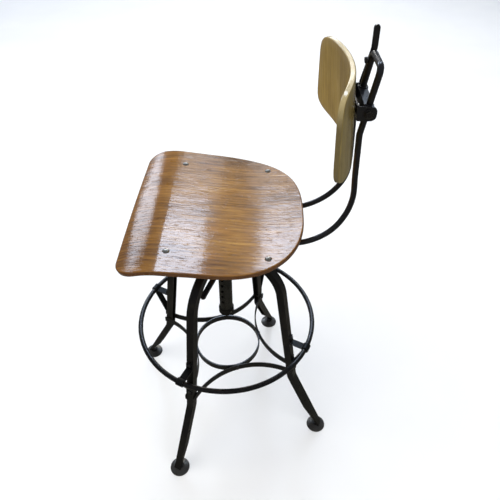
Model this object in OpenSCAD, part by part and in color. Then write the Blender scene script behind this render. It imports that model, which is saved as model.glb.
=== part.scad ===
// Drafting chair: a bent-ply seat and a curved ply backrest on a steel base.
// The seat turns on a notched post that slides in the hub of four channel legs.
// A bent rod bow carries the backrest on a sliding, tilting carriage.
// All lengths are millimetres. +Z is up, -Y is the front, +X is the sitter's left.
// The origin is on the floor, on the axis of the post.

/* [Base] */
// How far the base is turned under the seat, in degrees
base_turn = 19.55; // [0:0.05:40]
// Distance from the post's axis to the middle of each foot
foot_r = 290; // [280:1:300]
// Distance from the post's axis to the knee of each leg
knee_r = 200; // [196:1:204]
// Height of the knee
knee_z = 195; // [190:1:200]
// Height of the middle of the legs' top ends
top_z = 585; // [583:1:587]
// Radius of the bend at the top of each leg
leg_bend = 100; // [96:1:104]
// Width of a leg's web and depth of its flanges
leg_w = 19; // [18.6:0.1:19.2]
// Thickness of the legs' steel
leg_t = 3; // [2.5:0.1:3.2]
// Radius of the foot ring, to the middle of its rod
ring_r = 230; // [226:1:234]
// Height of the foot ring
ring_z = 338.5; // [334:0.5:342]
// Diameter of the foot ring's rod
ring_d = 12.4; // [12:0.1:12.6]
// Outside radius of the centre ring
hoop_r = 90.5; // [88:0.5:92]
// Height of the lower edge of the centre ring and stretchers
hoop_z = 218; // [214:1:222]
// Depth of the centre ring and stretchers
hoop_h = 18.5; // [16:0.5:20]
// Diameter of each glide
glide_d = 52; // [46:1:54]

/* [Post] */
// Diameter of the post
post_d = 34; // [33:0.5:34]
// Height of the post's lower end
post_z = 362; // [362:1:368]
// Distance between the latch holes
hole_pitch = 20; // [19:0.5:20]
// Height of the latch hole in use
latch_z = 531; // [529:1:533]

/* [Seat] */
// Half of the seat's width at its middle
seat_half = 214; // [208:1:218]
// Front edge of the seat
seat_front = -196; // [-198:1:-192]
// Rear edge of the seat
seat_rear = 178; // [174:1:182]
// Thickness of the seat's ply
seat_t = 11; // [10:0.5:11.5]
// Radius of the seat's hollow from front to back
dish_r = 650; // [620:10:700]
// Radius of the crest over which the seat's front rolls down
crest_r = 170; // [160:5:180]

/* [Back] */
// Diameter of the bow's rod
bow_d = 12.2; // [11.8:0.1:12.4]
// Half of the distance between the bow's uprights
bow_half = 38; // [38:0.5:38.5]
// Height of the bow's top bar
bow_top = 1032; // [1028:1:1036]
// Half of the backrest's width, measured round its curve
back_half_w = 164.4; // [156:0.4:170]
// Half of the backrest's height
back_half_h = 82; // [76:0.2:84]
// Radius of the backrest's hollow face
back_r = 339; // [330:1:360]
// Thickness of the backrest's ply
back_t = 10.5; // [9.5:0.5:10.5]

/* [Hidden] */

steel = [0.13, 0.12, 0.13];
worn = [0.22, 0.20, 0.19];
bright = [0.62, 0.61, 0.58];
ply = [0.50, 0.34, 0.19];
ply2 = [0.46, 0.39, 0.24];

// The legs stand at these turns round the post
leg_az = [base_turn - 45, base_turn + 45, base_turn + 135, base_turn + 225];
h = leg_w/2;
top_r = 45.3;

// ---------- planar bands along a bent centre line ----------
function unit(v) = v/norm(v);
function lf(u) = [-u[1], u[0]];
function dir(p, i) = unit(p[i+1] - p[i]);
function crs(u, v) = u[0]*v[1] - u[1]*v[0];
function turn2(p, i) = atan2(crs(dir(p, i-1), dir(p, i)), dir(p, i-1)*dir(p, i));
function tan_len(p, R, i) = (i == 0 || i == len(p)-1) ? 0 : R[i]*tan(abs(turn2(p, i))/2);
module sector(c, r0, r1, a0, a1) {
  n = 4;
  big = r1*1.3;
  intersection() {
    translate(c) difference() { circle(r=r1, $fn=240); circle(r=r0, $fn=240); }
    polygon(concat([c], [for (k=[0:n]) c + big*[cos(a0+(a1-a0)*k/n), sin(a0+(a1-a0)*k/n)]]));
  }
}
// Points of the line at offset a, measured to the left of the way along p; each bend is cut into short chords
function side(p, R, a) = concat([p[0] + lf(dir(p, 0))*a],
  [for (i=[1:len(p)-2]) let(t=turn2(p, i), u=dir(p, i-1), n=lf(u), q=t > 0 ? 1 : -1, c=p[i]-u*tan_len(p, R, i)+n*R[i]*q, m=max(2, ceil(abs(t)/3)))
    for (k=[0:m]) let(g=t*k/m) c + (a-R[i]*q)*[n[0]*cos(g)-n[1]*sin(g), n[0]*sin(g)+n[1]*cos(g)]],
  [p[len(p)-1] + lf(dir(p, len(p)-2))*a]);
function rev(l) = [for (i=[len(l)-1:-1:0]) l[i]];
module band(p, R, a, b) polygon(concat(side(p, R, a), rev(side(p, R, b))));
// Puts an (r, z) drawing in the plane that stands at turn az, centred on its width
module upright(az, w) rotate([0, 0, az]) rotate([90, 0, 0]) translate([0, 0, -w/2]) linear_extrude(w) children();

// ---------- round rod along corner points in space ----------
function turn3(a, b, c) = acos(min(1, unit(b-a)*unit(c-b)));
function tl3(p, R, i) = (i == 0 || i == len(p)-1) ? 0 : R[i]*tan(turn3(p[i-1], p[i], p[i+1])/2);
// The bends are a hair thinner than the straights, which reach a little way over them
module rod(p, R, r) {
  for (i=[0:len(p)-2]) {
    a0 = i == 0 ? 0 : 0.3; a1 = i == len(p)-2 ? 0 : 0.3;
    u = unit(p[i+1]-p[i]); s = p[i] + u*(tl3(p, R, i)-a0); L = norm(p[i+1]-p[i]) - tl3(p, R, i) - tl3(p, R, i+1) + a0 + a1;
    translate(s) rotate([0, acos(u[2]), atan2(u[1], u[0])]) cylinder(h=L, r=r, $fn=48);
  }
  for (i=[1:len(p)-2]) {
    u = unit(p[i]-p[i-1]); w = unit(p[i+1]-p[i]); ang = turn3(p[i-1], p[i], p[i+1]);
    n = unit(cross(u, w)); q = cross(n, u); c = p[i] - u*tl3(p, R, i) + q*R[i];
    multmatrix([[-q[0], u[0], n[0], c[0]], [-q[1], u[1], n[1], c[1]], [-q[2], u[2], n[2], c[2]], [0, 0, 0, 1]])
      rotate_extrude(angle=ang, $fn=240) translate([R[i], 0]) circle(r=r-0.03, $fn=48);
  }
}
module along_x(x, y, z, r, len, fn=48) translate([x, y, z]) rotate([0, 90, 0]) cylinder(h=len, r=r, $fn=fn);

// ---------- legs ----------
leg_d = unit([knee_r-foot_r-1, knee_z-14]);
leg_p = [[foot_r+1, 14]-leg_d*9, [knee_r, knee_z], [141, top_z], [top_r, top_z]];
leg_R = [0, 50, leg_bend, 0];
// Middle of a leg at height z, between the knee and the top bend
function leg_mid(z) = knee_r + (141-knee_r)*(z-knee_z)/(top_z-knee_z);
lean = atan((knee_r-141)/(top_z-knee_z));
// Outer face of a leg's web at height z
function web_r(z) = leg_mid(z) + h/cos(lean);
module leg(az) color(steel) {
  u = dir(leg_p, 0); n = lf(u); f = leg_p[0];
  difference() {
    upright(az, leg_w) band(leg_p, leg_R, -h, h);
    upright(az, leg_w-2*leg_t) band(concat([f-u*30], [leg_p[1], leg_p[2]], [[20, top_z]]), leg_R, -h+leg_t, h+1);
    // The flanges run out towards the foot
    upright(az, 30) polygon([f-n*4-u*20, f-n*4+u*14, f+u*84+n*(h+0.01), f+u*84+n*30, f+n*30-u*20]);
    rotate([0, 0, az]) translate([foot_r, 0, -10]) cylinder(h=23, r=40, $fn=60);
    // Holes for the bolts that hold the leg to the hub and to the stretchers
    rotate([0, 0, az]) translate([53, 0, 583.5]) rotate([90, 0, 0]) cylinder(h=40, r=3.1, center=true, $fn=32);
    rotate([0, 0, az]) translate([leg_mid(227.2)+2, 0, hoop_z+hoop_h/2]) rotate([90, 0, 0]) cylinder(h=40, r=3.1, center=true, $fn=32);
    // Way for the nose of the web over the hub
    cylinder(h=700, r=top_r-0.4, $fn=90);
  }
  // Foot tab, with the hole for the glide's stud
  rotate([0, 0, az]) difference() {
    union() {
      translate([foot_r, 0, 10]) cylinder(h=3.2, r=10.5, $fn=60);
      translate([foot_r, 0.4-h, 10]) cube([12.6, leg_w-0.8, 3.2]);
    }
    translate([foot_r, 0, 0]) cylinder(h=30, r=3.1, $fn=32);
  }
}
module front_left_leg() leg(leg_az[0]);
module rear_left_leg() leg(leg_az[1]);
module rear_right_leg() leg(leg_az[2]);
module front_right_leg() leg(leg_az[3]);

// ---------- hub ----------
bore_r = post_d/2 + 0.06;
module hub_casting() color(steel) difference() {
  union() {
    translate([0, 0, 572]) cylinder(h=27, r=44.6, $fn=120);
    translate([0, 0, 505]) cylinder(h=113, r=27, $fn=120);
    translate([0, 0, 562]) cylinder(h=10, r1=27, r2=38, $fn=120);
    for (a=leg_az) rotate([0, 0, a]) translate([30, -6.3, 577.2]) cube([31.5, 12.6, 13.4]);
    // Ears that hold the latch pin
    rotate([0, 0, leg_az[0]]) for (s=[-1, 1]) translate([20, s*10-3.5, 540]) cube([17, 7, 26]);
  }
  translate([0, 0, 500]) cylinder(h=130, r=bore_r, $fn=120);
  for (a=leg_az) rotate([0, 0, a]) translate([53, 0, 583.5]) rotate([90, 0, 0]) cylinder(h=30, r=3.1, center=true, $fn=32);
  // Slot in which the latch lever works
  rotate([0, 0, leg_az[0]]) translate([10, -6.5, 519]) cube([30, 13, 50]);
  rotate([0, 0, leg_az[0]]) translate([29, 0, 553]) rotate([90, 0, 0]) cylinder(h=60, r=3, center=true, $fn=32);
}
module leg_bolts() color(worn) for (a=leg_az) rotate([0, 0, a]) translate([53, 0, 583.5]) rotate([90, 0, 0]) {
  cylinder(h=28, r=3, center=true, $fn=32);
  translate([0, 0, h]) cylinder(h=4, r=6, $fn=6);
  translate([0, 0, -h-4]) cylinder(h=4, r=6, $fn=6);
}
module latch_pin() color(worn) rotate([0, 0, leg_az[0]]) translate([29, 0, 553]) rotate([90, 0, 0]) {
  translate([0, 0, -14.5]) cylinder(h=37.5, r=3, $fn=32);
  translate([0, 0, -15.8]) cylinder(h=2, r=4.6, $fn=32);
  translate([0, 0, 22]) cylinder(h=2, r=4.6, $fn=32);
}

// ---------- foot ring and its brackets ----------
module foot_ring() color(worn) translate([0, 0, ring_z]) rotate_extrude($fn=240) translate([ring_r, 0]) circle(d=ring_d, $fn=48);
clamp_r = ring_d/2 + 3.2;
function leaf(z) = web_r(z) + 0.3;
module ring_bracket(az) {
  low = 262; e = clamp_r - 2.8;
  color(worn) difference() {
    union() {
      upright(az, 18) {
        polygon([[leaf(ring_z), ring_z-1.5], [ring_r-e, ring_z-1.5], [ring_r-e, ring_z+1.8], [leaf(ring_z), ring_z+1.8]]);
        polygon([[leaf(ring_z+20), ring_z+20], [leaf(ring_z+20)+3, ring_z+20], [leaf(ring_z-1.5)+3, ring_z-1.5], [leaf(ring_z-1.5), ring_z-1.5]]);
        polygon([[leaf(low)+1, low+5], [leaf(low)+1, low-3], [ring_r-1, ring_z-clamp_r-0.4], [ring_r-1, ring_z-5], [ring_r-3.8, ring_z-5], [ring_r-3.8, ring_z-clamp_r+0.7]]);
        polygon([[leaf(low+4), low+4], [leaf(low+4)+3, low+4], [leaf(low-13)+3, low-13], [leaf(low-13), low-13]]);
      }
      rotate([0, 0, az]) translate([ring_r, 0, ring_z]) rotate([90, 0, 0]) cylinder(h=18, r=clamp_r, center=true, $fn=60);
    }
    rotate([0, 0, az]) translate([ring_r, 0, ring_z]) rotate([90, 0, 0]) cylinder(h=40, r=ring_d/2+0.3, center=true, $fn=60);
  }
}
module front_left_ring_bracket() ring_bracket(leg_az[0]);
module rear_left_ring_bracket() ring_bracket(leg_az[1]);
module rear_right_ring_bracket() ring_bracket(leg_az[2]);
module front_right_ring_bracket() ring_bracket(leg_az[3]);
module bracket_rivets() color(worn) for (a=leg_az, z=[ring_z+12, 255]) rotate([0, 0, a]) translate([leaf(z)+3.06, 0, z])
  rotate([0, 90-lean, 0]) cylinder(h=2.4, r1=4.4, r2=2.6, $fn=36);

// ---------- centre ring and stretchers ----------
str_t = 3.5;
str_off = h + str_t/2 + 0.05;
str_x0 = hoop_r + 0.1 + str_t/2;
str_R = (str_x0 - str_off*sqrt(2))/(sqrt(2)-1);
module centre_ring() color(worn) difference() {
  translate([0, 0, hoop_z]) cylinder(h=hoop_h, r=hoop_r, $fn=180);
  translate([0, 0, hoop_z-1]) cylinder(h=hoop_h+2, r=hoop_r-4, $fn=180);
}
module stretcher(az) color(steel) rotate([0, 0, az]) difference() {
  translate([0, 0, hoop_z]) linear_extrude(hoop_h) {
    sector([str_x0+str_R, 0], str_R-str_t/2, str_R+str_t/2, 135, 225);
    for (s=[-1, 1]) translate([str_x0+str_R*(1-sqrt(0.5)), s*str_R*sqrt(0.5)]) rotate(s*45) translate([0, -str_t/2]) square([11, str_t]);
  }
  for (s=[-1, 1]) rotate([0, 0, s*45]) translate([leg_mid(227.2)+2, 0, hoop_z+hoop_h/2]) rotate([90, 0, 0]) cylinder(h=40, r=3.1, center=true, $fn=32);
}
module front_stretcher() stretcher(leg_az[0]-45);
module left_stretcher() stretcher(leg_az[0]+45);
module rear_stretcher() stretcher(leg_az[1]+45);
module right_stretcher() stretcher(leg_az[2]+45);
module stretcher_rivets() color(worn) {
  for (a=leg_az) rotate([0, 0, a]) translate([leg_mid(227.2)+2, 0, hoop_z+hoop_h/2]) rotate([90, 0, 0]) {
    w = 2*(h+str_t)+0.3;
    cylinder(h=w, r=3, center=true, $fn=32);
    for (s=[0, 1]) mirror([0, 0, s]) translate([0, 0, w/2]) cylinder(h=2.6, r1=5.2, r2=3, $fn=36);
  }
  for (a=leg_az, z=[5, 13.5]) rotate([0, 0, a+45]) translate([str_x0+str_t/2+0.05, 0, hoop_z+z]) rotate([0, 90, 0]) cylinder(h=2.2, r1=4, r2=2.4, $fn=36);
}

// ---------- glides ----------
module glide(az) color(worn) rotate([0, 0, az]) translate([foot_r, 0, 0]) rotate_extrude($fn=90)
  polygon([[3, 5.2], [9, 5.2], [glide_d/2-2.6, 1.6], [glide_d/2-2.2, 0], [glide_d/2, 0], [glide_d/2, 1.8],
           [glide_d/2-1.2, 3], [glide_d/2-4.5, 4.4], [12.5, 8], [10.5, 9.9], [3, 9.9]]);
module front_left_glide() glide(leg_az[0]);
module rear_left_glide() glide(leg_az[1]);
module rear_right_glide() glide(leg_az[2]);
module front_right_glide() glide(leg_az[3]);
module glide_studs() color(worn) for (a=leg_az) rotate([0, 0, a]) translate([foot_r, 0, 0]) {
  translate([0, 0, 2.4]) cylinder(h=2.7, r=6, $fn=36);
  translate([0, 0, 2.4]) cylinder(h=13, r=2.9, $fn=32);
  translate([0, 0, 13.3]) rotate_extrude($fn=36) intersection() { translate([0, -2.2]) circle(r=6.6, $fn=60); translate([0, 0]) square([8, 8]); }
}

// ---------- post ----------
holes = 8;
module seat_post() color(worn) difference() {
  translate([0, 0, post_z+2]) cylinder(h=640-post_z-2, r=post_d/2, $fn=120);
  translate([0, 0, post_z]) cylinder(h=300, r=post_d/2-3, $fn=120);
  for (i=[0:holes-1]) rotate([0, 0, leg_az[0]]) translate([5, 0, latch_z + hole_pitch*(i-holes+2)]) rotate([0, 90, 0]) cylinder(h=20, r=4.6, $fn=36);
}
module stop_collar() color(steel) difference() {
  translate([0, 0, post_z]) rotate_extrude($fn=120) polygon([[0, 0], [18.4, 0], [19.8, 1.4], [19.8, 18.6], [18.4, 20], [0, 20]]);
  translate([0, 0, post_z+2]) cylinder(h=30, r=post_d/2+0.02, $fn=120);
  translate([0, 0, post_z-1]) cylinder(h=30, r=8, $fn=60);
  rotate([0, 0, 40]) translate([10, 0, post_z+11]) rotate([0, 90, 0]) cylinder(h=20, r=2.5, $fn=32);
}
module collar_screw() color(bright) rotate([0, 0, 40]) translate([post_d/2+0.1, 0, post_z+11]) rotate([0, 90, 0]) difference() {
  cylinder(h=3.2, r=2.45, $fn=32);
  translate([0, 0, 1.6]) cylinder(h=4, r=1.3, $fn=6);
}
module swivel_pin() color(bright) translate([0, 0, 0]) rotate_extrude($fn=120)
  polygon([[0, 604], [post_d/2-3.08, 604], [post_d/2-3.08, 640.06], [18, 640.06], [18, 644], [11, 644], [11, 679.3], [8, 679.3], [8, 689], [7, 690], [0, 690]]);
module thrust_washer() color([0.60, 0.45, 0.22]) difference() {
  translate([0, 0, 644.05]) cylinder(h=3, r=20, $fn=90);
  translate([0, 0, 640]) cylinder(h=10, r=11.3, $fn=90);
}
module swivel_nut() color(worn) difference() {
  translate([0, 0, 679.4]) cylinder(h=7.6, r=14.5, $fn=6);
  translate([0, 0, 670]) cylinder(h=30, r=8.02, $fn=60);
}

// ---------- latch lever ----------
// Drawn in the (r, z) plane of the front left leg
module latch_lever() color(steel) difference() {
  union() {
    upright(leg_az[0], 12) {
      band([[29, 553], [44, 533], [103, 517]], [0, 10, 0], -3, 3);
      translate([29, 553]) circle(r=7, $fn=48);
      polygon([[24, 549], [29, 546.2], [26, latch_z+3], [26, latch_z-3], [21, latch_z-3], [21, latch_z+3]]);
    }
    rotate([0, 0, leg_az[0]]) translate([103, 0, 517]) rotate([0, atan2(16, 59), 0]) translate([0, 0, -2.9]) cylinder(h=5.8, r=6.5, $fn=48);
    rotate([0, 0, leg_az[0]]) translate([post_d/2+0.5, 0, latch_z]) rotate([0, 90, 0]) cylinder(h=6, r=2.9, $fn=36);
  }
  rotate([0, 0, leg_az[0]]) translate([29, 0, 553]) rotate([90, 0, 0]) cylinder(h=60, r=3.06, center=true, $fn=32);
}
// Coils that press the lever's nose into the post
module latch_spring() color(bright) rotate([0, 0, leg_az[0]]) {
  for (k=[0:3]) translate([29, -14.9-1.85*k, 553]) rotate([90, 0, 0]) rotate_extrude($fn=60) translate([4.6, 0]) circle(r=0.9, $fn=24);
}

// ---------- seat ----------
low_y = 90;
low_z = 700.8;
ramp = 6.1;
// Hollow, then a straight rise, then the crest and the roll at the front
y1 = low_y - dish_r*sin(ramp); z1 = low_z + dish_r*(1-cos(ramp));
y2 = -107; z2 = z1 + (y1-y2)*tan(ramp);
crest = [y2 - crest_r*sin(ramp), z2 - crest_r*cos(ramp)];
function dish(y) = y > y1 ? low_z + dish_r - sqrt(dish_r*dish_r - (y-low_y)*(y-low_y)) : z1 + (y1-y)*tan(ramp);
function tilt(y) = y > y1 ? asin((y-low_y)/dish_r) : -ramp;
front_a = asin((crest[0]-seat_front)/crest_r);
rear_a = asin((seat_rear+3-low_y)/dish_r);
// Side line of the ply at depth d below its top, in (y, z), from rear to front
function seat_line(d) = concat(
  [for (i=[0:14]) let(a=rear_a-(rear_a+ramp)*i/14) [low_y, low_z+dish_r] + (dish_r+d)*[sin(a), -cos(a)]],
  [for (i=[0:20]) let(a=ramp-(ramp+front_a)*i/20) crest + (crest_r-d)*[sin(a), cos(a)]]);
module seat_side() polygon(concat(seat_line(0), rev(seat_line(seat_t))));
module seat_plan() {
  n = 2.65;
  m = 40;
  c = 40; w = seat_half + 4.5;
  polygon(concat(
    [for (i=[0:m]) let(a=-90+180*i/m, s=sin(a), v=-40+(seat_rear+40)*pow(max(0, 1-pow(abs(s), n)), 1/n)) [seat_half*s, v]],
    [for (i=[0:12]) let(a=i*90/12) [w-c+c*cos(a), seat_front+2+c-c*sin(a)]],
    [[60, seat_front+0.25], [0, seat_front-0.2], [-60, seat_front+0.25]],
    [for (i=[0:12]) let(a=90-i*90/12) [-(w-c+c*cos(a)), seat_front+2+c-c*sin(a)]]));
}
module seat_panel() color(ply) difference() {
  intersection() {
    translate([-250, 0, 0]) rotate([90, 0, 90]) linear_extrude(500) seat_side();
    translate([0, 0, 600]) linear_extrude(200) seat_plan();
  }
  for (b=bolts) at_bolt(b) cylinder(h=60, r=3.2, center=true, $fn=32);
}
bolt_x = 157;
bolts = [[bolt_x, -98], [-bolt_x, -98], [bolt_x, 101.5], [-bolt_x, 101.5]];
// Puts +Z along the seat's own normal at a bolt
module at_bolt(b) translate([b[0], b[1], dish(b[1])]) rotate([tilt(b[1]), 0, 0]) children();
module seat_bolts() color(bright) for (b=bolts) at_bolt(b) {
  rotate_extrude($fn=48) intersection() { translate([0, -5.6]) circle(r=9.2, $fn=72); translate([0, 0.05]) square([9, 9]); }
  translate([0, 0, -26]) cylinder(h=26.5, r=3, $fn=32);
}
module seat_nuts() color(worn) for (b=bolts) at_bolt(b) translate([0, 0, -seat_t-10.4]) difference() {
  cylinder(h=5, r=6.2, $fn=6);
  translate([0, 0, -1]) cylinder(h=8, r=3.05, $fn=32);
}
module cross_rail(y) color(steel) difference() {
  translate([0, y, dish(y)]) rotate([tilt(y), 0, 0]) translate([-172, -15, -seat_t-5.2]) cube([344, 30, 5]);
  for (b=bolts) at_bolt(b) cylinder(h=60, r=3.2, center=true, $fn=32);
  for (s=[-1, 1]) translate([s*48, y, 600]) cylinder(h=200, r=3.2, $fn=32);
}
module front_rail() cross_rail(-98);
module rear_rail() cross_rail(101.5);
// The side rails run straight, just under both cross rails
rf = dish(-98)-seat_t-5.95; rr = dish(101.5)-seat_t-6.75;
rail_slope = atan((rf-rr)/199.5);
function rail_top(y) = rr + (101.5-y)*tan(rail_slope);
module side_rail(s) color(steel) difference() {
  translate([s*48, 101.5, rr]) rotate([-rail_slope, 0, 0]) translate([-13, -212, -5]) cube([26, 225, 5]);
  for (y=[-98, -50, -20, 20, 101.5]) translate([s*48, y, 600]) cylinder(h=200, r=3.2, $fn=32);
}
module left_side_rail() side_rail(1);
module right_side_rail() side_rail(-1);
flange_z = rail_top(0)-5.2;
module seat_hub() color(steel) difference() {
  union() {
    translate([0, 0, 647.3]) cylinder(h=34, r=28, $fn=120);
    translate([0, 0, 660]) cylinder(h=22, r1=28, r2=36, $fn=120);
    translate([0, 0, flange_z]) rotate([-rail_slope, 0, 0]) translate([-63, -32, -9]) cube([126, 64, 9]);
  }
  translate([0, 0, 640]) cylinder(h=80, r=11.05, $fn=120);
  translate([0, 0, 679]) cylinder(h=40, r=20, $fn=120);
  for (s=[-1, 1], y=[-20, 20]) translate([s*48, y, 600]) cylinder(h=200, r=3.2, $fn=32);
}
module guide(y) color(steel) difference() {
  translate([-80, y-10, 651]) cube([160, 20, 20]);
  for (s=[-1, 1]) {
    translate([s*64, y-20, 661]) rotate([-90, 0, 0]) cylinder(h=40, r=bow_d/2+0.1, $fn=60);
    translate([s*48, y, 600]) cylinder(h=200, r=3.2, $fn=32);
    if (y > 0) translate([s*64, y, 640]) cylinder(h=21, r=4.05, $fn=32);
  }
}
module front_bow_guide() guide(-50);
module rear_bow_guide() guide(101.5);
module guide_spacers() color(worn) for (s=[-1, 1], y=[-50, 101.5]) difference() {
  translate([s*48, y, 671.05]) cylinder(h=rail_top(y+9)-5.3-671.05, r=7.5, $fn=48);
  translate([s*48, y, 600]) cylinder(h=200, r=3.2, $fn=32);
}
// Bolts of the seat frame: guides, spacers, side rails, cross rails and hub
module frame_bolts() color(worn) for (s=[-1, 1]) {
  for (y=[-50, 101.5]) translate([s*48, y, 0]) {
    translate([0, 0, 646.5]) cylinder(h=4.4, r=5.6, $fn=6);
    translate([0, 0, 647]) cylinder(h=rail_top(y)-645.5, r=3, $fn=32);
  }
  translate([s*48, -50, rail_top(-50)+0.4]) cylinder(h=2.2, r=5.6, $fn=6);
  for (y=[-20, 20]) translate([s*48, y, 0]) {
    translate([0, 0, flange_z-y*tan(rail_slope)-13.7]) cylinder(h=4, r=5.6, $fn=6);
    translate([0, 0, flange_z-y*tan(rail_slope)-13]) cylinder(h=19, r=3, $fn=32);
  }
  translate([s*48, -98, 0]) {
    translate([0, 0, rail_top(-98)-9.9]) cylinder(h=4.2, r=5.6, $fn=6);
    translate([0, 0, rail_top(-98)-9]) cylinder(h=13, r=3, $fn=32);
  }
}
module bow_set_screws() color(worn) for (s=[-1, 1]) translate([s*64, 101.5, 0]) {
  translate([0, 0, 643]) cylinder(h=11.5, r=4, $fn=32);
  translate([-5, -5, 636]) cube([10, 10, 7.5]);
}

// ---------- bow ----------
lean_b = 8.2;
k_z = 908.5; k_y = 264;
up = [0, sin(lean_b), cos(lean_b)];
function upr_y(z) = k_y + (z-k_z)*tan(lean_b);
side_p = [[64, -88, 661], [64, 180.1, 661], [61.6, 240.2, 697.3], [49.5, 272.9, 759.4], [bow_half, 269.4, 818], [bow_half, k_y, k_z]];
side_R = [0, 126, 120, 120, 160, 60];
top_p = [[bow_half, upr_y(bow_top), bow_top]];
function flip(p) = [for (i=[len(p)-1:-1:0]) [-p[i][0], p[i][1], p[i][2]]];
function back(l) = [for (i=[len(l)-1:-1:0]) l[i]];
module back_bow() color(steel) rod(concat(side_p, top_p, flip(top_p), flip(side_p)), concat(side_R, [13, 13], back(side_R)), bow_d/2);
stop_z = 1018;
module bow_stop_screw() color(worn) translate([-bow_half, upr_y(stop_z), stop_z]) rotate([90+lean_b, 0, 0]) {
  translate([0, 0, bow_d/2-0.3]) cylinder(h=3, r=3, $fn=32);
  translate([0, 0, bow_d/2+1.2]) cylinder(h=4.8, r=5.6, $fn=48);
}

// ---------- carriage on the bow ----------
piv_z = 955.5; piv_y = upr_y(piv_z);
arm_x = 49; arm_t = 3;
module rod_carriage() color(steel) difference() {
  translate([0, piv_y, piv_z]) rotate([-lean_b, 0, 0]) union() {
    translate([0.3-arm_x, -9, -11]) cube([2*arm_x-0.6, 18, 22]);
    for (s=[-1, 1]) translate([s*bow_half, 0, -13]) cylinder(h=26, r=8.6, $fn=72);
  }
  for (s=[-1, 1]) {
    translate([s*bow_half, piv_y, piv_z]) rotate([-lean_b, 0, 0]) translate([0, 0, -40]) cylinder(h=80, r=bow_d/2+0.1, $fn=60);
    along_x(s > 0 ? bow_half : -60, piv_y, piv_z, 4, 60-bow_half, 48);
  }
}
module pivot_studs() color(worn) for (s=[-1, 1]) {
  L = s > 0 ? arm_x+10.9-bow_half-bow_d/2 : arm_x+13.7-bow_half-bow_d/2;
  x = bow_half + bow_d/2 + 0.4;
  along_x(s > 0 ? x : -x-L, piv_y, piv_z, 3.98, L, 48);
}
module tilt_nut() color(worn) difference() {
  union() { along_x(arm_x+3.6, piv_y, piv_z, 7.6, 6.5, 6); along_x(arm_x+3.3, piv_y, piv_z, 8.5, 1, 48); }
  along_x(40, piv_y, piv_z, 4.02, 30, 48);
}
// Clamp lever, drawn in the (y, z) plane outside the right arm
lever_p = [[piv_y, piv_z], [285.6, 1032], [284.2, 1067.4]];
module tilt_lever() color(steel) difference() {
  translate([-arm_x-7.9, 0, 0]) rotate([90, 0, 90]) linear_extrude(4.4) {
    translate([piv_y, piv_z]) circle(r=10, $fn=72);
    band(lever_p, [0, 60, 0], -5.7, 5.7);
    translate(lever_p[2]) circle(r=5.72, $fn=48);
  }
  along_x(-70, piv_y, piv_z, 4.05, 60, 48);
}
module lever_cap() color(worn) difference() {
  union() { along_x(-arm_x-14.7, piv_y, piv_z, 6.4, 6.2, 6); along_x(-arm_x-9.3, piv_y, piv_z, 7.6, 1, 48); }
  along_x(-70, piv_y, piv_z, 4.02, 30, 48);
}

// ---------- backrest ----------
back_y = 239.8; back_z = 947.8; back_lean = 5.74;
module in_back() translate([0, back_y, back_z]) rotate([back_lean, 0, 0]) children();
module back_outline() {
  n = 6.5; m = 88;
  polygon([for (i=[0:m-1]) let(a=360*i/m, c=cos(a), d=sin(a),
    t0=back_half_h*sign(d)*pow(abs(d), 2/n),
    s=back_half_w*sign(c)*pow(abs(c), 2/n)*(1-0.06*t0/back_half_h),
    t=t0+7.4*(s/back_half_w)*(s/back_half_w)) [back_r*sin(s/back_r*180/PI), t]]);
}
back_bolts = [[-25, 7.7], [25, 7.7]];
module backrest_panel() color(ply2) in_back() difference() {
  intersection() {
    translate([0, -back_r, -150]) difference() {
      cylinder(h=300, r=back_r+back_t, $fn=720);
      translate([0, 0, -1]) cylinder(h=302, r=back_r, $fn=720);
    }
    translate([0, 60, 0]) rotate([90, 0, 0]) linear_extrude(160) back_outline();
  }
  for (b=back_bolts) translate([b[0], 0, b[1]]) rotate([90, 0, 0]) cylinder(h=80, r=3.2, center=true, $fn=32);
}
web_y = 10.9;
arm_h = 13.6; web_lo = -5.2; web_hi = 22;
function web_mid(t) = back_y + (web_y+0.8)*cos(back_lean) - t*sin(back_lean);
module back_bracket() color(steel) {
  difference() {
    union() {
      in_back() translate([0.3-arm_x-arm_t, web_y, web_lo]) cube([2*(arm_x+arm_t)-0.6, 3, web_hi-web_lo]);
      for (s=[-1, 1]) translate([s > 0 ? arm_x : -arm_x-arm_t, 0, 0]) rotate([90, 0, 90]) linear_extrude(arm_t) {
        polygon([[web_mid(web_lo), piv_z-arm_h], [piv_y+4, piv_z-arm_h],
          for (a=[-75:15:75]) [piv_y+4.5+10.5*cos(a), piv_z+sign(a)*(arm_h-10.5)+10.5*sin(a)],
          [piv_y+4, piv_z+arm_h], [web_mid(web_hi), piv_z+arm_h]]);
      }
    }
    for (s=[-1, 1]) along_x(s > 0 ? 40 : -60, piv_y, piv_z, 4.05, 20, 48);
    in_back() for (b=back_bolts) translate([b[0], 0, b[1]]) rotate([90, 0, 0]) cylinder(h=80, r=3.2, center=true, $fn=32);
  }
}
module bracket_bolts() color(bright) in_back() for (b=back_bolts) {
  y0 = sqrt(back_r*back_r-b[0]*b[0])-back_r;
  translate([b[0], y0-0.12, b[1]]) rotate([0, 0, -asin(b[0]/back_r)]) rotate([90, 0, 0]) rotate_extrude($fn=48) intersection() { translate([0, -5]) circle(r=8.4, $fn=72); square([8, 8]); }
  translate([b[0], y0-1, b[1]]) rotate([-90, 0, 0]) cylinder(h=20.6, r=3, $fn=32);
  translate([b[0], web_y+3.1, b[1]]) rotate([-90, 0, 0]) cylinder(h=4.6, r=6, $fn=6);
}

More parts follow.
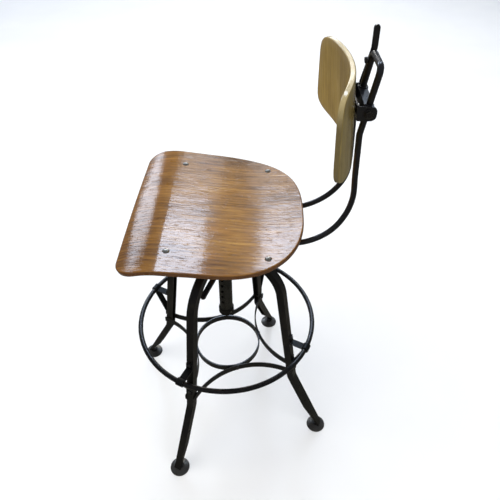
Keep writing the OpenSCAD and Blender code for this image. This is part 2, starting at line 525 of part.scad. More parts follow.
front_left_leg();
rear_left_leg();
rear_right_leg();
front_right_leg();
hub_casting();
leg_bolts();
foot_ring();
front_left_ring_bracket();
rear_left_ring_bracket();
rear_right_ring_bracket();
front_right_ring_bracket();
bracket_rivets();
centre_ring();
front_stretcher();
left_stretcher();
rear_stretcher();
right_stretcher();
stretcher_rivets();
front_left_glide();
rear_left_glide();
rear_right_glide();
front_right_glide();
glide_studs();
latch_pin();
seat_post();
stop_collar();
collar_screw();
swivel_pin();
thrust_washer();
swivel_nut();
latch_lever();
latch_spring();
seat_panel();
seat_hub();
left_side_rail();
right_side_rail();
front_rail();
rear_rail();
front_bow_guide();
rear_bow_guide();
guide_spacers();
seat_bolts();
seat_nuts();
frame_bolts();
bow_set_screws();
back_bow();
bow_stop_screw();
rod_carriage();
pivot_studs();
tilt_nut();
backrest_panel();
back_bracket();
bracket_bolts();
tilt_lever();
lever_cap();
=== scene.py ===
import bpy, math
import numpy as np
from mathutils import Vector, Matrix


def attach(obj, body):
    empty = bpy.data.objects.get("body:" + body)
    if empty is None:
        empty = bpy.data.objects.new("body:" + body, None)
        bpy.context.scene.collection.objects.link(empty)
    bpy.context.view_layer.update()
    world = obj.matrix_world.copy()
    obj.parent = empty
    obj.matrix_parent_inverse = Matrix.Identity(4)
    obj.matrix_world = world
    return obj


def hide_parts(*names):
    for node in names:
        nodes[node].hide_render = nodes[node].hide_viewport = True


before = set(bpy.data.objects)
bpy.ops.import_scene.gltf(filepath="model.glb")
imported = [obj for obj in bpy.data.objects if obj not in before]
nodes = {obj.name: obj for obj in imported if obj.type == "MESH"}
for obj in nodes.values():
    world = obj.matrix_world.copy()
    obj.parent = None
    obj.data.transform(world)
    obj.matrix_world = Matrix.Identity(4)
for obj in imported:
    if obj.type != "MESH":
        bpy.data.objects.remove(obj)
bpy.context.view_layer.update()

scene = bpy.context.scene

# ------------------------------------------------------------------ camera
YAW, PITCH, ROLL, FPX = -0.02057, 0.7358, 0.004031, 478.5
C = Vector((0.8403, 0.0794, 1.3426))
D = Vector((-math.cos(YAW)*math.cos(PITCH), math.sin(YAW)*math.cos(PITCH), -math.sin(PITCH)))
R = D.cross(Vector((0, 0, 1))).normalized()
U = R.cross(D)
cr, sr = math.cos(ROLL), math.sin(ROLL)
R2 = R*cr + U*sr
U2 = U*cr - R*sr
cam_data = bpy.data.cameras.new("camera")
cam = bpy.data.objects.new("camera", cam_data)
scene.collection.objects.link(cam)
m = Matrix((R2, U2, -D)).transposed().to_4x4()
m.translation = C
cam.matrix_world = m
cam_data.sensor_width = 36.0
cam_data.lens = FPX/500*36.0
cam_data.clip_start = 0.01
cam_data.clip_end = 50
scene.camera = cam


# ------------------------------------------------------------------ node helpers
class Tree:
    def __init__(self, name):
        self.mat = bpy.data.materials.new(name)
        self.mat.use_nodes = True
        self.t = self.mat.node_tree
        self.t.nodes.clear()
        self.out = self.t.nodes.new("ShaderNodeOutputMaterial")
        self.bsdf = self.t.nodes.new("ShaderNodeBsdfPrincipled")
        self.t.links.new(self.bsdf.outputs[0], self.out.inputs[0])

    def put(self, socket, value):
        if isinstance(value, bpy.types.NodeSocket):
            self.t.links.new(value, socket)
        elif value is not None:
            if hasattr(socket.default_value, "__len__") and isinstance(value, (tuple, list)) and len(value) == 3 and len(socket.default_value) == 4:
                value = (*value, 1.0)
            socket.default_value = value

    def node(self, kind, **kw):
        n = self.t.nodes.new(kind)
        for k, v in kw.items():
            setattr(n, k, v)
        return n

    def set(self, **kw):
        for k, v in kw.items():
            self.put(self.bsdf.inputs[k.replace("_", " ")], v)

    def obj(self):
        return self.node("ShaderNodeTexCoord").outputs["Object"]

    def attr(self, name, out="Vector"):
        return self.node("ShaderNodeAttribute", attribute_name=name).outputs[out]

    def map(self, vec, scale=(1, 1, 1), loc=(0, 0, 0), rot=(0, 0, 0)):
        n = self.node("ShaderNodeMapping")
        self.put(n.inputs["Vector"], vec)
        n.inputs["Scale"].default_value = scale
        n.inputs["Location"].default_value = loc
        n.inputs["Rotation"].default_value = rot
        return n.outputs[0]

    def noise(self, vec, scale=1.0, detail=3.0, rough=0.5, dist=0.0, lac=2.0, color=False):
        n = self.node("ShaderNodeTexNoise")
        self.put(n.inputs["Vector"], vec)
        n.inputs["Scale"].default_value = scale
        n.inputs["Detail"].default_value = detail
        n.inputs["Roughness"].default_value = rough
        n.inputs["Lacunarity"].default_value = lac
        n.inputs["Distortion"].default_value = dist
        return n.outputs["Color" if color else "Fac"]

    def voronoi(self, vec, scale=1.0, feature="F1", out="Distance", rand=1.0):
        n = self.node("ShaderNodeTexVoronoi", feature=feature)
        self.put(n.inputs["Vector"], vec)
        n.inputs["Scale"].default_value = scale
        n.inputs["Randomness"].default_value = rand
        return n.outputs[out]

    def wave(self, vec, scale=1.0, dist=0.0, detail=2.0, dscale=1.0, direction="X", kind="BANDS"):
        n = self.node("ShaderNodeTexWave", wave_type=kind)
        if kind == "BANDS":
            n.bands_direction = direction
        self.put(n.inputs["Vector"], vec)
        n.inputs["Scale"].default_value = scale
        n.inputs["Distortion"].default_value = dist
        n.inputs["Detail"].default_value = detail
        n.inputs["Detail Scale"].default_value = dscale
        return n.outputs["Fac"]

    def math(self, op, a, b=None, c=None, clamp=False):
        n = self.node("ShaderNodeMath", operation=op, use_clamp=clamp)
        self.put(n.inputs[0], a)
        if b is not None:
            self.put(n.inputs[1], b)
        if c is not None:
            self.put(n.inputs[2], c)
        return n.outputs[0]

    def fit(self, v, a, b, c=0.0, d=1.0, smooth=False):
        n = self.node("ShaderNodeMapRange", interpolation_type="SMOOTHSTEP" if smooth else "LINEAR")
        self.put(n.inputs["Value"], v)
        n.inputs["From Min"].default_value = a
        n.inputs["From Max"].default_value = b
        n.inputs["To Min"].default_value = c
        n.inputs["To Max"].default_value = d
        return n.outputs["Result"]

    def ramp(self, fac, stops, interp="LINEAR"):
        n = self.node("ShaderNodeValToRGB")
        n.color_ramp.interpolation = interp
        e = n.color_ramp.elements
        while len(e) < len(stops):
            e.new(0.5)
        for i, (p, c) in enumerate(stops):
            e[i].position = p
            e[i].color = (*c, 1.0) if len(c) == 3 else c
        self.put(n.inputs[0], fac)
        return n.outputs[0]

    def mix(self, fac, a, b, blend="MIX"):
        n = self.node("ShaderNodeMix", data_type="RGBA", blend_type=blend)
        n.clamp_factor = True
        self.put(n.inputs[0], fac)
        self.put(n.inputs[6], a)
        self.put(n.inputs[7], b)
        return n.outputs[2]

    def sep(self, v):
        n = self.node("ShaderNodeSeparateXYZ")
        self.put(n.inputs[0], v)
        return n.outputs

    def comb(self, x, y, z):
        n = self.node("ShaderNodeCombineXYZ")
        for i, v in enumerate((x, y, z)):
            self.put(n.inputs[i], v)
        return n.outputs[0]

    def bump(self, height, dist, strength=1.0, normal=None):
        n = self.node("ShaderNodeBump")
        self.put(n.inputs["Height"], height)
        n.inputs["Distance"].default_value = dist
        n.inputs["Strength"].default_value = strength
        if normal is not None:
            self.put(n.inputs["Normal"], normal)
        return n.outputs[0]


def srgb(r, g, b):
    f = lambda c: (c/255/12.92) if c/255 <= 0.04045 else ((c/255+0.055)/1.055)**2.4
    return (f(r), f(g), f(b))


# ------------------------------------------------------------------ wood
def seat_wood(name):
    T = Tree(name)
    w = T.attr("grain")
    warp = T.noise(T.map(w, (9, 3.5, 9)), 1.0, 2.0, color=True)
    wv = T.node("ShaderNodeVectorMath", operation="MULTIPLY_ADD")
    T.put(wv.inputs[0], warp)
    wv.inputs[1].default_value = (0.010, 0.0, 0.0)
    T.put(wv.inputs[2], w)
    g = wv.outputs[0]
    big = T.noise(T.map(w, (7, 4.5, 1), (3.1, 7.7, 0)), 1.0, 2.5, 0.55)
    streak = T.noise(T.map(g, (70, 6.5, 40), (11, 5, 2)), 1.0, 5.0, 0.62)
    fine = T.noise(T.map(g, (300, 30, 200), (1, 2, 3)), 1.0, 3.0, 0.6)
    figure = T.wave(T.map(g, (1, 0.10, 1)), 30, 6.5, 3.0, 1.6)
    tone = T.math("MULTIPLY_ADD", streak, 0.46, T.math("MULTIPLY_ADD", fine, 0.30, T.math("MULTIPLY", figure, 0.08)))
    tone = T.math("MULTIPLY_ADD", big, 0.42, tone)
    col = T.ramp(T.fit(tone, 0.40, 0.86), [
        (0.00, srgb(60, 36, 12)), (0.22, srgb(92, 61, 20)), (0.45, srgb(119, 82, 28)),
        (0.66, srgb(141, 100, 38)), (0.85, srgb(163, 121, 54)), (1.0, srgb(184, 144, 76))])
    # golden and red-brown islands of stain
    patch = T.noise(T.map(w, (9, 6, 1), (0.4, 2.2, 0)), 1.0, 3.0, 0.5)
    col = T.mix(T.fit(patch, 0.52, 0.74, 0, 0.65, True), col, T.mix(1.0, col, (1.12, 0.98, 0.74), "MULTIPLY"))
    col = T.mix(T.fit(patch, 0.44, 0.26, 0, 0.55, True), col, T.mix(1.0, col, (0.88, 0.74, 0.66), "MULTIPLY"))
    # open pores: short dark dashes along the grain
    p1 = T.noise(T.map(g, (560, 42, 300), (5, 1, 0)), 1.0, 2.0, 0.55)
    pores = T.fit(p1, 0.59, 0.69, 0.0, 1.0, True)
    dens = T.fit(T.noise(T.map(w, (24, 5, 1), (2, 9, 0)), 1.0, 2.0), 0.36, 0.62, 0.25, 1.0)
    pores = T.math("MULTIPLY", pores, dens)
    col = T.mix(T.math("MULTIPLY", pores, 0.74), col, srgb(54, 30, 18))
    # long dark mineral lines
    p2 = T.noise(T.map(g, (150, 4.5, 80), (15, 3, 0)), 1.0, 2.0, 0.5)
    lines = T.fit(p2, 0.66, 0.74, 0.0, 1.0, True)
    col = T.mix(T.math("MULTIPLY", lines, 0.45), col, srgb(62, 34, 20))
    # darker on the roll at the front and a little towards the rim
    s = T.sep(w)[1]
    col = T.mix(T.fit(s, -0.175, -0.255, 0.0, 0.45, True), col, T.mix(1.0, col, (0.72, 0.60, 0.52), "MULTIPLY"))
    rim = T.attr("rim", "Fac")
    col = T.mix(T.fit(rim, 0.010, 0.0, 0.0, 0.40, True), col, srgb(110, 70, 34))
    # rubbed thin spots
    rub = T.noise(T.map(w, (16, 16, 1), (7, 1, 0)), 1.0, 4.0, 0.6)
    col = T.mix(T.fit(rub, 0.62, 0.80, 0, 0.22), col, srgb(168, 128, 84))
    # ply layers on the edge
    depth = T.attr("depth", "Fac")
    e = T.attr("edge", "Fac")
    ln = T.math("FRACT", T.math("MULTIPLY_ADD", depth, 7.0, T.math("MULTIPLY", T.noise(T.map(w, (40, 40, 40)), 1.0, 2.0), 0.35)))
    lay = T.ramp(ln, [(0.0, srgb(44, 25, 14)), (0.10, srgb(84, 54, 28)), (0.45, srgb(128, 86, 44)), (0.55, srgb(84, 52, 27)), (0.9, srgb(108, 70, 36)), (1.0, srgb(46, 26, 15))])
    fib = T.noise(T.map(w, (260, 260, 900)), 1.0, 2.0)
    lay = T.mix(T.fit(fib, 0.35, 0.75, 0, 0.5), lay, srgb(58, 34, 19))
    col = T.mix(T.fit(e, 0.35, 0.65, 0, 1, True), col, lay)
    # varnish: fibres and pores show through it, with slight runs
    relief = T.math("SUBTRACT", T.math("MULTIPLY_ADD", fine, 0.5, T.math("MULTIPLY", streak, 0.5)), T.math("MULTIPLY", pores, 0.9))
    relief = T.math("SUBTRACT", relief, T.math("MULTIPLY", lines, 0.3))
    soft = T.noise(T.map(w, (26, 7, 1)), 1.0, 2.0)
    n1 = T.bump(soft, 0.0020, 0.35)
    n2 = T.bump(relief, 0.00042, 0.8, n1)
    n3 = T.bump(relief, 0.00048, 0.85, n1)
    rough = T.fit(T.noise(T.map(w, (30, 12, 1), (1, 4, 0)), 1.0, 4.0, 0.6), 0.3, 0.7, 0.24, 0.42)
    rough = T.math("ADD", rough, T.math("MULTIPLY", pores, 0.2))
    T.set(Base_Color=col, Roughness=rough, Normal=n2, IOR=1.5, Specular_IOR_Level=0.12)
    T.set(Coat_Weight=1.0, Coat_Roughness=0.085, Coat_IOR=1.5)
    T.put(T.bsdf.inputs["Coat Normal"], n3)
    return T.mat


def back_wood(name):
    T = Tree(name)
    w = T.attr("grain")
    warp = T.noise(T.map(w, (8, 3, 8)), 1.0, 2.0, color=True)
    wv = T.node("ShaderNodeVectorMath", operation="MULTIPLY_ADD")
    T.put(wv.inputs[0], warp)
    wv.inputs[1].default_value = (0.012, 0.0, 0.0)
    T.put(wv.inputs[2], w)
    g = wv.outputs[0]
    big = T.noise(T.map(w, (13, 5, 1), (2.1, 0.7, 0)), 1.0, 3.0, 0.55)
    streak = T.noise(T.map(g, (60, 7.0, 40), (4, 5, 2)), 1.0, 5.0, 0.6)
    fine = T.noise(T.map(g, (380, 34, 200), (1, 2, 3)), 1.0, 3.0, 0.6)
    figure = T.wave(T.map(g, (1, 0.10, 1)), 30, 6.5, 3.0, 1.2)
    tone = T.math("MULTIPLY_ADD", streak, 0.28, T.math("MULTIPLY_ADD", fine, 0.22, T.math("MULTIPLY", figure, 0.05)))
    tone = T.math("MULTIPLY_ADD", big, 0.62, tone)
    col = T.ramp(T.fit(tone, 0.36, 0.86), [
        (0.00, srgb(122, 98, 44)), (0.30, srgb(150, 123, 60)), (0.55, srgb(170, 143, 74)),
        (0.80, srgb(188, 161, 90)), (1.0, srgb(204, 180, 110))])
    p1 = T.noise(T.map(g, (700, 18, 300), (5, 1, 0)), 1.0, 2.0, 0.55)
    pores = T.fit(p1, 0.60, 0.70, 0.0, 1.0, True)
    col = T.mix(T.math("MULTIPLY", pores, 0.42), col, srgb(92, 72, 42))
    spot = T.noise(T.map(w, (55, 55, 1), (3, 8, 0)), 1.0, 3.0, 0.6)
    col = T.mix(T.fit(spot, 0.68, 0.80, 0, 0.35), col, srgb(96, 78, 50))
    depth = T.attr("depth", "Fac")
    # the hollow face is warmer than the outer one; painted light brightens it towards the bottom and painted shade
    # darkens it upwards
    sp = T.node("ShaderNodeSeparateXYZ")
    T.put(sp.inputs[0], w)
    face = T.mix(T.fit(sp.outputs[1], -0.065, 0.065, 0.0, 1.0, True), T.mix(1.0, col, (1.24, 1.23, 1.14), "MULTIPLY"), T.mix(1.0, col, (0.92, 0.89, 0.82), "MULTIPLY"))
    # painted light: the face is made paler and greyer towards the rim
    rim = T.attr("rim", "Fac")
    face = T.mix(T.fit(rim, 0.026, 0.0, 0.0, 0.34, True), face, srgb(172, 152, 112))
    col = T.mix(T.fit(depth, 0.2, 0.8, 0.0, 0.85, True), face, T.mix(1.0, col, (0.56, 0.60, 0.57), "MULTIPLY"))
    e = T.attr("edge", "Fac")
    ln = T.math("FRACT", T.math("MULTIPLY_ADD", depth, 6.0, T.math("MULTIPLY", T.noise(T.map(w, (40, 40, 40)), 1.0, 2.0), 0.3)))
    lay = T.ramp(ln, [(0.0, srgb(86, 72, 40)), (0.10, srgb(118, 102, 62)), (0.45, srgb(132, 116, 74)), (0.55, srgb(102, 87, 51)), (0.9, srgb(116, 100, 60)), (1.0, srgb(86, 72, 40))])
    fib = T.noise(T.map(w, (300, 300, 900)), 1.0, 2.0)
    lay = T.mix(T.fit(fib, 0.40, 0.80, 0, 0.45), lay, srgb(94, 79, 48))
    # painted highlight: the upper ply edge is made pale and bluish, standing in for the reflection of the light above
    lay = T.mix(T.fit(sp.outputs[1], 0.030, 0.072, 0.0, 1.0, True), lay, T.mix(1.0, lay, (2.3, 2.5, 3.2), "MULTIPLY"))
    col = T.mix(T.fit(e, 0.35, 0.65, 0, 1, True), col, lay)
    relief = T.math("SUBTRACT", T.math("MULTIPLY_ADD", fine, 0.5, T.math("MULTIPLY", streak, 0.5)), T.math("MULTIPLY", pores, 0.7))
    n1 = T.bump(T.noise(T.map(w, (22, 9, 1)), 1.0, 2.0), 0.0014, 0.3)
    n2 = T.bump(relief, 0.0003, 0.7, n1)
    n3 = T.bump(relief, 0.0001, 0.6, n1)
    rough = T.fit(T.noise(T.map(w, (30, 12, 1), (1, 4, 0)), 1.0, 4.0, 0.6), 0.3, 0.7, 0.32, 0.50)
    T.set(Base_Color=col, Roughness=rough, Normal=n2, IOR=1.5, Specular_IOR_Level=0.2)
    T.set(Coat_Weight=1.0, Coat_Roughness=0.16, Coat_IOR=1.5)
    T.put(T.bsdf.inputs["Coat Normal"], n3)
    return T.mat


# ------------------------------------------------------------------ metals
def steel(name, base, patina, warm, bare, rough=(0.28, 0.48), metal=0.85, wear=0.5, seed=0.0, cast=0.0, coat=0.0, coat_rough=0.2, edge_r=0.0009):
    T = Tree(name)
    o = T.obj()
    big = T.noise(T.map(o, (9, 9, 9), (seed, seed*1.7, 0.3)), 1.0, 4.0, 0.6)
    mid = T.noise(T.map(o, (38, 38, 38), (0.4, seed, 2.0)), 1.0, 5.0, 0.62, 0.4)
    fine = T.noise(T.map(o, (340, 340, 340), (seed, 0, 1)), 1.0, 3.0, 0.6)
    grit = T.noise(T.map(o, (1500, 1500, 1500)), 1.0, 2.0, 0.5)
    col = T.mix(T.fit(big, 0.38, 0.66, 0, 1, True), base, patina)
    col = T.mix(T.fit(mid, 0.54, 0.74, 0, 0.8, True), col, warm)
    speck = T.fit(fine, 0.64, 0.74, 0, 1, True)
    col = T.mix(T.math("MULTIPLY", speck, 0.45), col, tuple(min(1.0, c*2.2+0.02) for c in base))
    # scratches: thin lines in two directions
    s1 = T.noise(T.map(o, (30, 900, 900), (seed, 3, 1), (0.3, 0.2, 0.5)), 1.0, 1.0)
    s2 = T.noise(T.map(o, (900, 24, 900), (2, seed, 1), (0.1, 0.4, 0.2)), 1.0, 1.0)
    scr = T.math("MAXIMUM", T.fit(s1, 0.72, 0.76), T.fit(s2, 0.73, 0.77))
    scr = T.math("MULTIPLY", scr, T.fit(mid, 0.42, 0.60))
    # rubbed edges, found from the rounded normal
    bv = T.node("ShaderNodeBevel", samples=4)
    bv.inputs["Radius"].default_value = edge_r
    geo = T.node("ShaderNodeNewGeometry")
    dot = T.node("ShaderNodeVectorMath", operation="DOT_PRODUCT")
    T.put(dot.inputs[0], bv.outputs[0])
    T.put(dot.inputs[1], geo.outputs["Normal"])
    edge = T.fit(dot.outputs["Value"], 0.985, 0.86, 0.0, 1.0, True)
    edge = T.math("MULTIPLY", edge, T.fit(T.noise(T.map(o, (60, 60, 60), (seed, 1, 5)), 1.0, 4.0, 0.65), 0.36, 0.62, 0.15, 1.0))
    rub = T.math("MAXIMUM", T.math("MULTIPLY", edge, wear), T.math("MULTIPLY", scr, wear*0.6))
    col = T.mix(rub, col, bare)
    r = T.fit(T.noise(T.map(o, (70, 70, 70), (1, 1, seed)), 1.0, 4.0, 0.6), 0.3, 0.7, rough[0], rough[1])
    r = T.math("SUBTRACT", r, T.math("MULTIPLY", rub, 0.10))
    h = T.math("MULTIPLY_ADD", fine, 0.5, T.math("MULTIPLY", grit, 0.25))
    n = T.bump(h, 0.00010 + 0.0006*cast, 0.6)
    if cast:
        n = T.bump(T.noise(T.map(o, (620, 620, 620)), 1.0, 3.0, 0.6), 0.0010*cast, 0.7, n)
    T.set(Base_Color=col, Roughness=r, Normal=n, Metallic=metal)
    if coat:
        T.set(Coat_Weight=coat, Coat_Roughness=coat_rough)
    return T.mat


DARK = dict(base=(0.013, 0.0122, 0.0118), patina=(0.027, 0.0255, 0.020), warm=(0.042, 0.036, 0.023), bare=(0.15, 0.145, 0.14))
mats = {
    "leg": steel("leg_steel", rough=(0.26, 0.46), metal=0.7, wear=0.40, seed=1.3, coat=0.35, coat_rough=0.30, **DARK),
    "cast": steel("cast_steel", rough=(0.40, 0.62), metal=0.75, wear=0.6, seed=4.1, cast=1.0, **DARK),
    "ring": steel("ring_steel", base=(0.010, 0.010, 0.0115), patina=(0.020, 0.0195, 0.020), warm=(0.034, 0.029, 0.024), bare=(0.20, 0.20, 0.20),
                  rough=(0.22, 0.38), metal=0.8, wear=0.4, seed=2.7, coat=0.7, coat_rough=0.2),
    "bracket": steel("bracket_steel", base=(0.016, 0.018, 0.020), patina=(0.030, 0.032, 0.032), warm=(0.044, 0.038, 0.030), bare=(0.28, 0.28, 0.27),
                     rough=(0.26, 0.44), metal=0.85, wear=0.7, seed=5.5),
    "bow": steel("bow_steel", base=(0.0095, 0.0092, 0.0120), patina=(0.016, 0.0155, 0.019), warm=(0.024, 0.021, 0.019), bare=(0.15, 0.16, 0.18),
                 rough=(0.24, 0.40), metal=0.6, wear=0.35, seed=7.9, coat=1.0, coat_rough=0.09),
    "glide": steel("glide_steel", base=(0.10, 0.098, 0.094), patina=(0.17, 0.165, 0.155), warm=(0.080, 0.068, 0.052), bare=(0.50, 0.49, 0.47),
                   rough=(0.28, 0.48), metal=0.95, wear=0.9, seed=3.3),
    "screw": steel("screw_steel", base=(0.060, 0.058, 0.058), patina=(0.110, 0.105, 0.100), warm=(0.090, 0.072, 0.050), bare=(0.50, 0.49, 0.47),
                   rough=(0.25, 0.42), metal=0.95, wear=0.8, seed=6.1, edge_r=0.0006),
    "bright": steel("bright_steel", base=(0.60, 0.58, 0.53), patina=(0.46, 0.44, 0.39), warm=(0.46, 0.40, 0.29), bare=(0.85, 0.84, 0.80),
                    rough=(0.26, 0.42), metal=1.0, wear=0.8, seed=8.8, edge_r=0.0006),
    "bronze": steel("bronze", base=(0.40, 0.27, 0.11), patina=(0.30, 0.20, 0.09), warm=(0.24, 0.15, 0.07), bare=(0.65, 0.48, 0.24),
                    rough=(0.25, 0.42), metal=1.0, wear=0.7, seed=9.2),
    "post": steel("post_steel", base=(0.060, 0.060, 0.054), patina=(0.105, 0.102, 0.090), warm=(0.040, 0.032, 0.022), bare=(0.28, 0.28, 0.26),
                  rough=(0.22, 0.40), metal=0.95, wear=0.8, seed=2.2),
}
which = {}
for n in nodes:
    k = "leg"
    if n.endswith("_leg") or n.endswith("_stretcher") or "rail" in n and "side" in n or n in ("front_rail", "rear_rail"):
        k = "leg"
    if n in ("hub_casting", "seat_hub", "front_bow_guide", "rear_bow_guide", "stop_collar"):
        k = "cast"
    if n in ("foot_ring", "centre_ring"):
        k = "ring"
    if n.endswith("_ring_bracket"):
        k = "bracket"
    if n in ("back_bow", "back_bracket", "rod_carriage", "tilt_lever", "latch_lever"):
        k = "bow"
    if n.endswith("_glide"):
        k = "glide"
    if n in ("leg_bolts", "bracket_rivets", "stretcher_rivets", "glide_studs", "latch_pin", "swivel_nut", "guide_spacers", "seat_nuts", "frame_bolts",
             "bow_set_screws", "bow_stop_screw", "pivot_studs", "tilt_nut", "lever_cap"):
        k = "screw"
    if n in ("collar_screw", "swivel_pin", "latch_spring", "seat_bolts", "bracket_bolts"):
        k = "bright"
    if n == "thrust_washer":
        k = "bronze"
    if n == "seat_post":
        k = "post"
    which[n] = k
    o = nodes[n]
    if not o.material_slots:
        o.data.materials.append(mats[k])
    for sl in o.material_slots:
        sl.material = mats[k]


# ------------------------------------------------------------------ mesh helpers
def mesh_object(name, verts, faces, mat, attrs=None):
    me = bpy.data.meshes.new(name)
    me.from_pydata([tuple(v) for v in verts], [], faces)
    me.validate()
    me.update()
    for k, v in (attrs or {}).items():
        v = np.asarray(v, float)
        if v.ndim == 2:
            a = me.attributes.new(k, "FLOAT_VECTOR", "POINT")
            a.data.foreach_set("vector", v.astype(np.float32).ravel())
        else:
            a = me.attributes.new(k, "FLOAT", "POINT")
            a.data.foreach_set("value", v.astype(np.float32).ravel())
    me.polygons.foreach_set("use_smooth", [True]*len(me.polygons))
    ob = bpy.data.objects.new(name, me)
    scene.collection.objects.link(ob)
    me.materials.append(mat)
    return ob


def resample(P, n):
    """n points spaced evenly along a closed outline."""
    Q = np.vstack([P, P[:1]])
    d = np.r_[0, np.cumsum(np.linalg.norm(np.diff(Q, axis=0), axis=1))]
    t = np.linspace(0, d[-1], n, endpoint=False)
    return np.stack([np.interp(t, d, Q[:, i]) for i in range(2)], 1)


def inward(P):
    """Unit normals into a counter-clockwise closed outline, smoothed."""
    t = np.roll(P, -1, 0) - np.roll(P, 1, 0)
    t /= np.linalg.norm(t, axis=1)[:, None]
    n = np.stack([-t[:, 1], t[:, 0]], 1)
    for _ in range(3):
        n = (np.roll(n, 1, 0) + 2*n + np.roll(n, -1, 0))
        n /= np.linalg.norm(n, axis=1)[:, None]
    return n


def ply_panel(name, outline, centre, surface, thick, r, mat, rings=44, n=360):
    """A bent ply panel: surface(plan points, depth) gives (points, grain coordinates); both its rims are rounded to radius r."""
    P = resample(outline, n)
    nrm = inward(P)
    rows = []
    inner = P + nrm*r
    for k in range(rings):
        f = (k+0.6)/(rings-0.0)
        f = f*(2-f)*0.5 + f*0.5
        rows.append((centre + (inner-centre)*f, 0.0, 0.0, None))
    for a in np.linspace(0, 90, 7):
        a = math.radians(a)
        rows.append((P + nrm*r*(1-math.sin(a)), r*(1-math.cos(a)), (math.sin(a))**2, r*(1-math.sin(a))))
    for d in np.linspace(r, thick-r, 7)[1:-1]:
        rows.append((P, d, 1.0, 0.0))
    for a in np.linspace(90, 0, 7):
        a = math.radians(a)
        rows.append((P + nrm*r*(1-math.sin(a)), thick - r*(1-math.cos(a)), (math.sin(a))**2, r*(1-math.sin(a))))
    for k in reversed(range(rings)):
        f = (k+0.6)/(rings-0.0)
        f = f*(2-f)*0.5 + f*0.5
        rows.append((centre + (inner-centre)*f, thick, 0.0, None))
    V, G, E, Dp, Rm = [], [], [], [], []
    for q, d, e, _ in rows:
        v, g = surface(q, d)
        V.append(v); G.append(g)
        E.append(np.full(n, e)); Dp.append(np.full(n, d/thick))
        Rm.append(np.linalg.norm(q - P, axis=1))
    cen = np.array([centre])
    v0, g0 = surface(cen, 0.0)
    v1, g1 = surface(cen, thick)
    V = np.vstack(V + [v0, v1]); G = np.vstack(G + [g0, g1])
    E = np.concatenate(E + [[0], [0]]); Dp = np.concatenate(Dp + [[0], [1]]); Rm = np.concatenate(Rm + [[0.2], [0.2]])
    F = []
    m = len(rows)
    for i in range(m-1):
        for j in range(n):
            k = (j+1) % n
            F.append((i*n+j, (i+1)*n+j, (i+1)*n+k, i*n+k))
    c0, c1 = m*n, m*n+1
    for j in range(n):
        k = (j+1) % n
        F.append((c0, j, k))
        F.append((c1, (m-1)*n+k, (m-1)*n+j))
    return mesh_object(name, V, F, mat, {"grain": G, "edge": E, "depth": Dp, "rim": Rm})


# ------------------------------------------------------------------ seat
SH, SF, SR, ST = 0.214, -0.196, 0.178, 0.011
LY, LZ, DR, CR = 0.090, 0.7008, 0.650, 0.170
RA = math.radians(6.1)
Y1, Z1 = LY - DR*math.sin(RA), LZ + DR*(1-math.cos(RA))
Y2 = -0.107
Z2 = Z1 + (Y1-Y2)*math.tan(RA)
CY, CZ = Y2 - CR*math.sin(RA), Z2 - CR*math.cos(RA)


def seat_surface(q, d):
    """Hollow at the rear, a straight rise, then the crest that rolls down at the front."""
    x, y = q[:, 0], q[:, 1]
    a = np.arcsin(np.clip((y-LY)/DR, -0.9, 0.9))
    b = np.arcsin(np.clip((y-CY)/CR, -0.95, 0.95))
    low, front = y > Y1, y < Y2
    ny = np.where(low, -np.sin(a), np.where(front, np.sin(b), math.sin(RA)))
    nz = np.where(low, np.cos(a), np.where(front, np.cos(b), math.cos(RA)))
    z = np.where(low, LZ + DR*(1-np.cos(a)), np.where(front, CZ + CR*np.cos(b), Z1 + (Y1-y)*math.tan(RA)))
    s1 = -DR*RA
    s2 = s1 - (Y1-Y2)/math.cos(RA)
    s = np.where(low, DR*a, np.where(front, s2 - CR*(RA-b), s1 - (Y1-y)/math.cos(RA)))
    v = np.stack([x, y - ny*d, z - nz*d], 1)
    g = np.stack([x, s, np.full(len(x), -d)], 1)
    return v, g


def seat_outline():
    nn, c, w = 2.65, 0.040, SH+0.0045
    pts = []
    for i in range(161):
        a = math.radians(90 - 180*i/160)
        s = math.sin(a)
        pts.append((SH*s, -0.040 + (SR+0.040)*max(0.0, 1-abs(s)**nn)**(1/nn)))
    for i in range(41):
        a = math.radians(i*90/40)
        pts.append((-(w-c+c*math.cos(a)), SF+0.002+c-c*math.sin(a)))
    for x in np.linspace(-0.15, 0.15, 31):
        pts.append((x, SF - 0.0002 + 0.0022*(x/0.1785)**2))
    for i in range(41):
        a = math.radians(90-i*90/40)
        pts.append((w-c+c*math.cos(a), SF+0.002+c-c*math.sin(a)))
    return np.array(pts)


seat_mat = seat_wood("seat_veneer")
seat = ply_panel("seat_ply_panel", seat_outline(), np.array([0.0, -0.01]), seat_surface, ST, 0.0028, seat_mat, rings=56, n=480)
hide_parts("seat_panel")
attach(seat, "seat")

# ------------------------------------------------------------------ backrest
BY, BZ, BL = 0.2398, 0.9478, math.radians(5.74)
BR, BT, BW, BH = 0.339, 0.0105, 0.1644, 0.082


def back_surface(q, d):
    s, t = q[:, 0], q[:, 1]
    ph = s/BR
    x = (BR+d)*np.sin(ph)
    y = -BR + (BR+d)*np.cos(ph)
    # the tips of the real panel stay within the bent blank
    yy = y*math.cos(BL) - t*math.sin(BL) + BY
    zz = y*math.sin(BL) + t*math.cos(BL) + BZ
    return np.stack([x, yy, zz], 1), np.stack([s, t, np.full(len(s), -d)], 1)


def back_outline():
    n, pts = 6.5, []
    for i in range(720):
        a = 2*math.pi*i/720
        c, d = math.cos(a), math.sin(a)
        t0 = BH*math.copysign(abs(d)**(2/n), d)
        s = BW*math.copysign(abs(c)**(2/n), c)*(1-0.06*t0/BH)
        pts.append((s, t0+0.0074*(s/BW)**2))
    return np.array(pts)


back_mat = back_wood("back_veneer")
back = ply_panel("backrest_ply_panel", back_outline(), np.array([0.0, 0.0]), back_surface, BT, 0.0026, back_mat, rings=40, n=420)
# the panel faces the sitter on -Y, so its faces wind the other way
back.data.flip_normals()
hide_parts("backrest_panel")
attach(back, "backrest")

